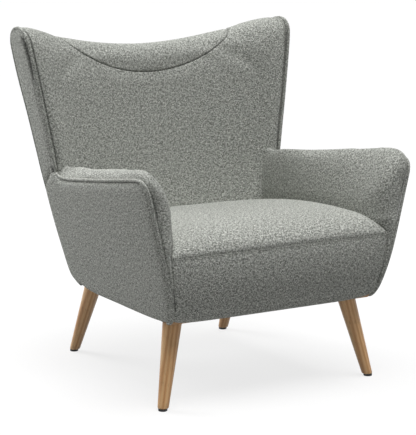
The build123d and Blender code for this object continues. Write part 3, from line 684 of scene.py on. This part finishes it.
def rearFace(a, b):
    a = crowd(a, outsideBack["crowding"])
    gap = (1 - abs(2 * a - 1)) * outsideBack["half"]
    roll = edgeRoll(outsideBack, gap, outsideBack["rollAt"])
    roll *= 1 - ease(*outsideBack["flatFrom"], b)  # flat where it turns under the body
    return rearPlain(a, b) - outward(rearPlain, a, b) * roll


def rearInside(a, b):
    a = crowd(a, outsideBack["crowding"])
    spot = rearPlain(a, b) + outward(rearPlain, a, b) * outsideBack["thick"]
    return Vector((spot.x * outsideBack["inShare"], spot.y, spot.z))


bm = padForm(outsideBack["columns"], outsideBack["rows"], rearFace, rearInside, ["start", "end"])
rearCover = addPiece("outsideBack", bm, upholstery, ["outside_back_cover"])
rounded(rearCover)
print("outside back done")

# Arms: cloth from the piping across the front strip and the crest, over the inner edge and down the wall
arm = {
    "lengthSteps": 66, "heightSteps": 40, "edgeSteps": 60, "wallSteps": 20, "curveSteps": 2,
    "strip": 8, "gap": 2.5, "lap": 6, "hidden": 7, "fullWidth": 30,
    "widenFrom": (372, 425),  # z, where the front strip widens into the arm
    # how much the crest changes along the arm, and between which y
    "crest": 21, "frontRise": (5, -370, -280), "rearSwell": (3, -30, 70), "rearDrop": (9, 80, 170),
    # power that draws the crest towards the piping, and what it loses along the arm
    "draw": 1.5, "drawFront": (0.5, -340, -180), "drawRear": (0.3, -60, 70),
    # smoothing of the inner front corner: rounds, and the farthest y, lowest z and widest x that it takes in
    "softening": 14, "softBefore": -200, "softAbove": 420, "softWithin": 352,
    # side view of the inside wall's corners, as (y, z), and the crest's last points, which run under the wing
    "wallCorner": (-299, 452), "wallFoot": (-290, 222), "wallRear": (200, 416), "rearFoot": (200, 330),
    "crestEnd": [(144, 501.5), (166, 506), (195, 512)],
    # across the arm from the piping: share of its width, rise to the crest, fall to the inside wall
    "overCurve": [
        (0, -0.1, 0), (0.05, 0.32, 0), (0.16, 0.68, 0), (0.30, 0.94, 0), (0.42, 1, 0), (0.53, 1, 0.045),
        (0.65, 1, 0.16), (0.78, 1, 0.36), (0.9, 1, 0.64), (1, 1, 1),
    ],
    "stripCurve": [
        (0, -0.7, 0), (0.07, -0.15, 0), (0.13, 0.55, 0), (0.28, 1, 0), (0.47, 1, 0.035), (0.66, 1, 0.13),
        (0.83, 1, 0.30), (0.935, 1, 0.495), (0.984, 1, 0.73), (1, 1, 1),
    ],
    "fill": {"pressure": 0.3, "cap": 0.002},
}
armFront = measured(between(armLine, 0, armCorner))
crestEdge = armEdge[:armMeet - 1] + arm["crestEnd"]
armOver = measured(between(smoothLine(crestEdge), armCorner, len(crestEdge) - 1))
wallFrontLine = measured([Vector((0, *arm["wallFoot"])), Vector((0, *arm["wallCorner"]))])
wallOverLine = measured([Vector((0, *arm["wallCorner"])), Vector((0, *arm["wallRear"]))])
overCurve, stripCurve = [smoothLine(arm[name], arm["curveSteps"]) for name in ("overCurve", "stripCurve")]
bandSteps = len(overCurve) - 1
armColumns, armRows = arm["lengthSteps"] + bandSteps, arm["heightSteps"] + bandSteps


def armWidth(y, z):  # from the piping to the inside wall, less where the border takes over
    wide = sideX(y, z) - arm["gap"] - innerX(y)
    narrow = stripWidth(z) + arm["lap"]
    return narrow + (wide - narrow) * ease(*arm["widenFrom"], z)


def armChange(name, y):  # how much of a change along the arm is reached at y
    amount, start, end = arm[name]
    return amount * ease(start, end, y)


def armBand(edge, share, ring):  # a point across the arm, at a share of its sewn edge
    spot = along(edge, share)
    way = (along(edge, share + 0.01) - along(edge, share - 0.01)).normalized()
    out = Vector((0, -way.z, way.y))
    top = max(0, out.z)
    width = armWidth(spot.y, spot.z)
    over = overCurve[ring].copy()
    over.x **= arm["draw"] - armChange("drawFront", spot.y) - armChange("drawRear", spot.y)
    across, rise, fall = stripCurve[ring].lerp(over, ease(0, 1, top))
    crest = arm["crest"] + armChange("frontRise", spot.y)
    crest += armChange("rearSwell", spot.y) - armChange("rearDrop", spot.y)
    height = (arm["strip"] + (crest - arm["strip"]) * top) * min(1, width / arm["fullWidth"])
    inside = along(wallFrontLine if edge is armFront else wallOverLine, share)
    place = (spot + out * height * rise).lerp(inside, fall)
    return Vector((sideX(spot.y, spot.z) - arm["gap"] - width * across, place.y, place.z))


wallTop = [armBand(armOver, share, bandSteps) for share in evenly(arm["edgeSteps"])]
wallFront = [armBand(armFront, share, bandSteps) for share in evenly(arm["edgeSteps"])]
rearFoot = Vector((innerX(arm["rearFoot"][0]), *arm["rearFoot"]))
wallBottom = [wallFront[0].lerp(rearFoot, share) for share in evenly(arm["wallSteps"])]
wallRear = [rearFoot.lerp(wallTop[-1], share) for share in evenly(arm["wallSteps"])]
wall = fourSided(wallBottom, wallTop, wallFront, wallRear)


def armFace(a, b):  # rings of the grid run in from the sewn edge, and the wall fills the rest
    i, j = round(a * armColumns), round(b * armRows)
    ring = min(i, armRows - j)
    if ring >= bandSteps:
        return wall((i - bandSteps) / arm["lengthSteps"], j / arm["heightSteps"])
    if i <= armRows - j:
        return armBand(armFront, j / (armRows - ring), ring)
    return armBand(armOver, (i - ring) / (armColumns - ring), ring)


def armInside(a, b):  # hidden side of the arm, behind the outside panel
    i, j = round(a * armColumns), round(b * armRows)
    ring = min(i, armRows - j)
    if ring >= bandSteps:
        spot = armFace(a, b)
    else:
        edge, inner, share = armOver, wallOverLine, (i - ring) / (armColumns - ring)
        if i <= armRows - j:
            edge, inner, share = armFront, wallFrontLine, j / (armRows - ring)
        spot = along(edge, share).lerp(along(inner, share), (ring + 1) / (bandSteps + 1))
    return Vector((sideX(spot.y, spot.z) - arm["hidden"], spot.y, spot.z))


softFar, softLow, softWide = [arm[name] / 1000 for name in ("softBefore", "softAbove", "softWithin")]
for side, placed in chairSides:
    bm = padForm(armColumns, armRows, placed(armFace), placed(armInside), ["start", "top"])
    soft = [v for v in bm.verts if v.co.y < softFar and v.co.z > softLow and abs(v.co.x) < softWide]
    for again in range(arm["softening"]):
        bmesh.ops.smooth_vert(bm, verts=soft, factor=0.5, use_axis_x=True, use_axis_y=True, use_axis_z=True)
    nodes = [side + "_inside_arm_cover", side + "_arm_pad"]
    pad = addPiece(side + "Arm", bm, upholstery, nodes)
    stuff(pad, armColumns, armRows, arm["fill"])
    rounded(pad)
print("arms done")

# Outside panels of the arms and wings: thinly padded cloth that dips to the piping round it
panels = {
    "Arm": {"swell": 4.0, "belly": 6.0, "columns": 96, "rows": 60, "length": 590, "height": 320,
            "sewn": ["start", "end", "top"]},
    "Wing": {"swell": 5.0, "belly": 0.0, "columns": 36, "rows": 64, "length": 110, "height": 380,
             "sewn": ["start", "end", "bottom", "top"]},
    "swellAt": 7.0, "bellyAt": 70, "sunk": 10.0, "rearSunk": 2.0, "thick": 13, "crowding": 0.85,
    # where the dip beside the piping turns shallow: by the wing's seam, on the arm under it, at the rear edge
    "wingDip": (0, 0.12), "armDip": (140, 165), "rearDip": (195, 230),
    "armFoot": [(-240, 206.5), (-60, 202), (100, 199.5)],
}
armPanelTop = between(armLine, armCorner, armMeet - 1) + wingSeamLine[2:]
armPanelRear = between(wingLine, wingHeel, rearCorner)[::-1]
armPanelFoot = smoothLine(armEdge[:1] + panels["armFoot"] + wingEdge[:rearCorner - 1:-1])
armPanel = fourSided(armPanelFoot, armPanelTop, between(armLine, 0, armCorner), armPanelRear)
wingRear = between(wingLine, wingRearCorner, wingHeel)[::-1]
wingTop = between(wingLine, wingFrontCorner, wingRearCorner)
wingPanel = fourSided(wingSeamLine, wingTop, between(wingLine, 0, wingFrontCorner), wingRear)


def panelForms(name, outline):  # outer face and hidden side of a panel
    form = panels[name]

    def face(a, b):
        a, b = crowd(a, panels["crowding"]), crowd(b, panels["crowding"])
        spot = outline(a, b)
        fromFront = a * form["length"]
        swell = 1
        for gap in (fromFront, (1 - a) * form["length"], b * form["height"], (1 - b) * form["height"]):
            swell *= 1 - exp(-gap / panels["swellAt"])
        piped = ease(*panels["wingDip"], b) if name == "Wing" else 1 - ease(*panels["armDip"], spot.y)
        piped *= 1 - ease(*panels["rearDip"], spot.y)
        sunk = panels["rearSunk"] + (panels["sunk"] - panels["rearSunk"]) * piped
        belly = form["belly"] * swell * (1 - exp(-fromFront / panels["bellyAt"]))
        out = form["swell"] * swell - sunk * (1 - swell) + belly
        return Vector((sideX(spot.y, spot.z) + out, spot.y, spot.z))

    def inside(a, b):
        spot = outline(crowd(a, panels["crowding"]), crowd(b, panels["crowding"]))
        return Vector((sideX(spot.y, spot.z) - panels["thick"], spot.y, spot.z))

    return face, inside


for side, placed in chairSides:
    for name, outline in (("Arm", armPanel), ("Wing", wingPanel)):
        form = panels[name]
        face, inside = panelForms(name, outline)
        bm = padForm(form["columns"], form["rows"], placed(face), placed(inside), form["sewn"])
        nodes = [f"{side}_outside_{name.lower()}_panel"]
        panel = addPiece(f"{side}Outside{name}", bm, upholstery, nodes)
        rounded(panel)
print("outside panels done")

# Piping: a cord in bias-cut cloth, sewn into the edges of the outside panels
piping = {
    "thick": 8.0, "proud": 3.2, "wingSeamThick": 4.5, "wingSeamSunk": 1.8,
    "seamThick": 1.8, "seamOut": 2, "seamUp": 1, "seamSteps": 60,
}


def tube(name, line, thick, nodes=()):  # a round cord along a line, as a mesh
    route = bpy.data.curves.new(name, "CURVE")
    route.dimensions = "3D"
    route.bevel_depth, route.bevel_resolution, route.use_fill_caps = thick / 2000, 3, True
    run = route.splines.new("NURBS")
    run.points.add(len(line) - 1)
    for point, spot in zip(run.points, line):
        point.co = (*(spot / 1000), 1)
    run.order_u, run.use_endpoint_u, run.resolution_u = 4, True, 2
    holder = bpy.data.objects.new(name + "Route", route)
    scene.collection.objects.link(holder)
    shown = holder.evaluated_get(bpy.context.evaluated_depsgraph_get())
    bm = bmesh.new()
    bm.from_mesh(shown.to_mesh())
    bpy.data.objects.remove(holder)
    for layer in list(bm.loops.layers.uv):
        bm.loops.layers.uv.remove(layer)
    bmesh.ops.remove_doubles(bm, verts=bm.verts, dist=0.00001)
    bmesh.ops.recalc_face_normals(bm, faces=bm.faces)
    return addPiece(name, bm, pipingCloth, nodes)


def pipeLine(spots, hand, out):  # a line on the outer face of the chair, moved out from it
    return [Vector((hand * (sideX(p.y, p.z) + out), p.y, p.z)) for p in spots]


for side, hand in (("right", 1), ("left", -1)):
    out = piping["proud"] - piping["thick"] / 2
    armRoute = pipeLine(between(armLine, 0, armMeet)[::2], hand, out)
    wingRoute = pipeLine(wingLine[::2], hand, out)
    tube(side + "ArmPiping", armRoute, piping["thick"], [side + "_arm_welt"])
    tube(side + "WingPiping", wingRoute, piping["thick"], [side + "_wing_welt"])
    seamRoute = pipeLine(wingSeamLine[::2], hand, -piping["wingSeamSunk"])
    tube(side + "WingSeam", seamRoute, piping["wingSeamThick"])
borderTop = [borderFace(share, 1) for share in evenly(piping["seamSteps"])]
seamZ = chair["seatSeam"] + piping["seamUp"]
seatSeamRoute = [Vector((p.x, p.y - piping["seamOut"], seamZ)) for p in borderTop]
tube("seatSeam", seatSeamRoute, piping["seamThick"])
print("piping done")

# Legs: turned tapers, splayed, with eased feet
legs = {
    "front": {"top": (251.8, -285), "foot": (299.8, -321)},
    "rear": {"top": (219, 184), "foot": (234, 281)},
    "wide": 24.0, "narrow": 13.5, "level": 207.7, "base": 6.15, "into": 6, "eased": 2.5, "rings": 20,
    # mm by which each leg's grain is moved, so that no two legs look alike
    "grainX": {"left": -21.0, "right": 37.0}, "grainY": {"front": -33.0, "rear": 15.0}, "grainZ": 60.0,
}
for side, hand in (("left", -1), ("right", 1)):
    for end in ("front", "rear"):
        foot, top = legs[end]["foot"], legs[end]["top"]
        high = legs["level"] + legs["into"]
        bm = bmesh.new()
        bmesh.ops.create_cone(bm, segments=48, radius1=legs["narrow"], radius2=legs["wide"],
                              depth=high - legs["base"], cap_ends=True)
        bmesh.ops.translate(bm, vec=(0, 0, (high + legs["base"]) / 2), verts=bm.verts)
        rim = [e for e in bm.edges if all(v.co.z < legs["base"] + legs["eased"] for v in e.verts)]
        bmesh.ops.bevel(bm, geom=rim, offset=legs["eased"], segments=3, profile=0.5, affect="EDGES",
                        material=-1)
        uprights = [e for e in bm.edges if abs(e.verts[0].co.z - e.verts[1].co.z) > legs["wide"]]
        bmesh.ops.subdivide_edges(bm, edges=uprights, cuts=legs["rings"], use_grid_fill=True)
        grainLayer = bm.verts.layers.float_vector.new("grain")
        shift = Vector((legs["grainX"][side], legs["grainY"][end], legs["grainZ"] * hand))
        for v in bm.verts:
            v[grainLayer] = (v.co + shift) / 1000
            share = v.co.z / legs["level"]
            v.co.x += foot[0] + (top[0] - foot[0]) * share
            v.co.y += foot[1] + (top[1] - foot[1]) * share
            v.co.x *= hand
        bmesh.ops.recalc_face_normals(bm, faces=bm.faces)
        toMetres(bm)
        addPiece(f"{side}{end.capitalize()}Leg", bm, oakWood, [f"{side}_{end}_leg"])
print("legs done")

# Dust cover: black cloth stapled under the frame, sagging a little
dust = {
    "columns": 40, "rows": 40, "front": -322, "rear": 198, "inset": 5, "level": 207.6, "thick": 1.0,
    "sag": 3.5, "sagBow": 0.7,
}


def dustHalf(y):
    return armX(y, chair["bottom"]) - dust["inset"]


def dustUnder(a, b):
    y = dust["front"] + (dust["rear"] - dust["front"]) * b
    sag = dust["sag"] * (16 * a * (1 - a) * b * (1 - b)) ** dust["sagBow"]  # in full at the middle
    return Vector(((2 * a - 1) * dustHalf(y), y, dust["level"] - sag))


def dustUpper(a, b):
    return dustUnder(a, b) + Vector((0, 0, dust["thick"]))


bm = padForm(dust["columns"], dust["rows"], dustUnder, dustUpper)
dustCover = addPiece("dustCover", bm, dustCloth, ["dust_cover"])
print("dust cover done")

# Frame timber whose lower corners are sawn off, so that the cloth turns under in a soft round. A cut lies
# across a point in the side view, as (y, z), moved out along the way it faces.
sawCuts = [
    {"at": (-330, 243), "facing": (-1, -1), "out": 27,
     "nodes": ["front_rail", "left_front_post", "right_front_post"]},
    {"at": (204, 231), "facing": (1.04, -1), "out": -15,
     "nodes": ["left_back_post", "right_back_post", "left_side_rail", "right_side_rail"]},
]
for cut in sawCuts:
    facing = Vector((0, *cut["facing"])).normalized()
    place = (Vector((0, *cut["at"])) + facing * cut["out"]) / 1000
    for name in cut["nodes"]:
        bm = bmesh.new()
        bm.from_mesh(frame["nodes"][name].data)
        bmesh.ops.remove_doubles(bm, verts=bm.verts, dist=0.00001)
        everything = bm.verts[:] + bm.edges[:] + bm.faces[:]
        bmesh.ops.bisect_plane(bm, geom=everything, plane_co=place, plane_no=facing, clear_outer=True)
        bmesh.ops.holes_fill(bm, edges=[e for e in bm.edges if e.is_boundary])
        bmesh.ops.recalc_face_normals(bm, faces=bm.faces)
        first, *others = name.split("_")
        board = first + "".join(word.capitalize() for word in others)
        timber = addPiece(board, bm, beech, [name])
        timber.data.shade_flat()
print("frame corners sawn")

# Finishes of the construction's own pieces, by their material slots
finishes = {
    "oak": oakWood, "frame_timber": beech, "steel": zinc, "webbing": elastic, "glide_plastic": glidePlastic,
    "upholstery": upholstery, "piping": pipingCloth, "foam": upholstery, "dust_cloth": dustCloth,
}
for entry in frame["record"]["subparts"]:
    data = frame["nodes"][entry["node"]].data
    data.materials.clear()
    data.materials.append(finishes[entry["material_slot"]])
print("finishes set")

# Floor, light and camera
stage = {
    "floor": "#fbfbfb", "floorBounce": "#939393", "floorGlow": 0.78, "floorHalf": 20, "world": 0.1,
    "keyStrength": 3.05, "keySpread": 46, "keyAt": (0.21, -0.51, 3.0), "keyAim": 0.0,
    "fillPower": 52, "fillSize": 1.5, "fillAt": (-1.6, 2.2, 2.0), "fillAim": 0.4,  # m above the floor
}


def background(tree):  # 1 where the picture, a gloss or a glass looks straight at the surroundings
    rays = node(tree, "ShaderNodeLightPath")
    seen = rays.outputs["Is Camera Ray"]
    for kind in ("Is Glossy Ray", "Is Transmission Ray"):
        either = node(tree, "ShaderNodeMath", {"operation": "MAXIMUM"}, {0: seen, 1: rays.outputs[kind]})
        seen = either.outputs[0]
    return seen


bm = bmesh.new()
bmesh.ops.create_grid(bm, x_segments=1, y_segments=1, size=stage["floorHalf"])
floorMesh = bpy.data.meshes.new("floor")
bm.to_mesh(floorMesh)
bm.free()
# Pale studio floor: white to the camera but for the chair's shadow, mid grey for the light that it returns
floorPaint, tree, shader = material("paleFloor", {"Roughness": 0.9})
seen = background(tree)
tint = node(tree, "ShaderNodeMix", {
    "data_type": "RGBA", 6: colour(stage["floorBounce"]), 7: colour(stage["floor"]),
}, {0: seen})
tree.links.new(tint.outputs[2], shader.inputs["Base Color"])
glow = node(tree, "ShaderNodeEmission", {"Color": (1, 1, 1, 1), "Strength": 1.0})
part = node(tree, "ShaderNodeMath", {"operation": "MULTIPLY", 1: stage["floorGlow"]}, {0: seen})
blend = node(tree, "ShaderNodeMixShader",
             links={0: part.outputs[0], 1: shader.outputs[0], 2: glow.outputs[0]})
tree.links.new(blend.outputs[0], tree.nodes["Material Output"].inputs["Surface"])
floorMesh.materials.append(floorPaint)
floor = bpy.data.objects.new("floor", floorMesh)
scene.collection.objects.link(floor)

world = bpy.data.worlds.new("studio")
scene.world = world
world.use_nodes = True
tree = world.node_tree
sky = tree.nodes["Background"]
sky.inputs["Color"].default_value = (1, 1, 1, 1)
level = node(tree, "ShaderNodeMapRange", {"To Min": stage["world"], "To Max": 1.0},
             {"Value": background(tree)})
tree.links.new(level.outputs[0], sky.inputs["Strength"])

key = bpy.data.lights.new("key", "SUN")  # a wide soft light overhead
key.energy, key.angle = stage["keyStrength"], radians(stage["keySpread"])
fill = bpy.data.lights.new("fill", "AREA")  # a smaller one behind the chair, at its left
fill.energy, fill.size = stage["fillPower"], stage["fillSize"]
for lamp in (key, fill):
    holder = bpy.data.objects.new(lamp.name, lamp)
    scene.collection.objects.link(holder)
    holder.location = stage[lamp.name + "At"]
    ahead = Vector((0, 0, stage[lamp.name + "Aim"])) - holder.location
    holder.rotation_euler = ahead.to_track_quat("-Z", "Y").to_euler()

view = {"at": (-2.2022, -3.7071, 1.1851), "yaw": -30.91, "pitch": 10.49, "lens": 140.69}
camera = bpy.data.cameras.new("camera")
camera.sensor_width, camera.lens = 36, view["lens"]
viewer = bpy.data.objects.new("camera", camera)
scene.collection.objects.link(viewer)
viewer.location = view["at"]
turn, tilt = radians(view["yaw"]), radians(view["pitch"])
ahead = Vector((-sin(turn) * cos(tilt), cos(turn) * cos(tilt), -sin(tilt)))
viewer.rotation_euler = ahead.to_track_quat("-Z", "Y").to_euler()
scene.camera = viewer
print("stage set")
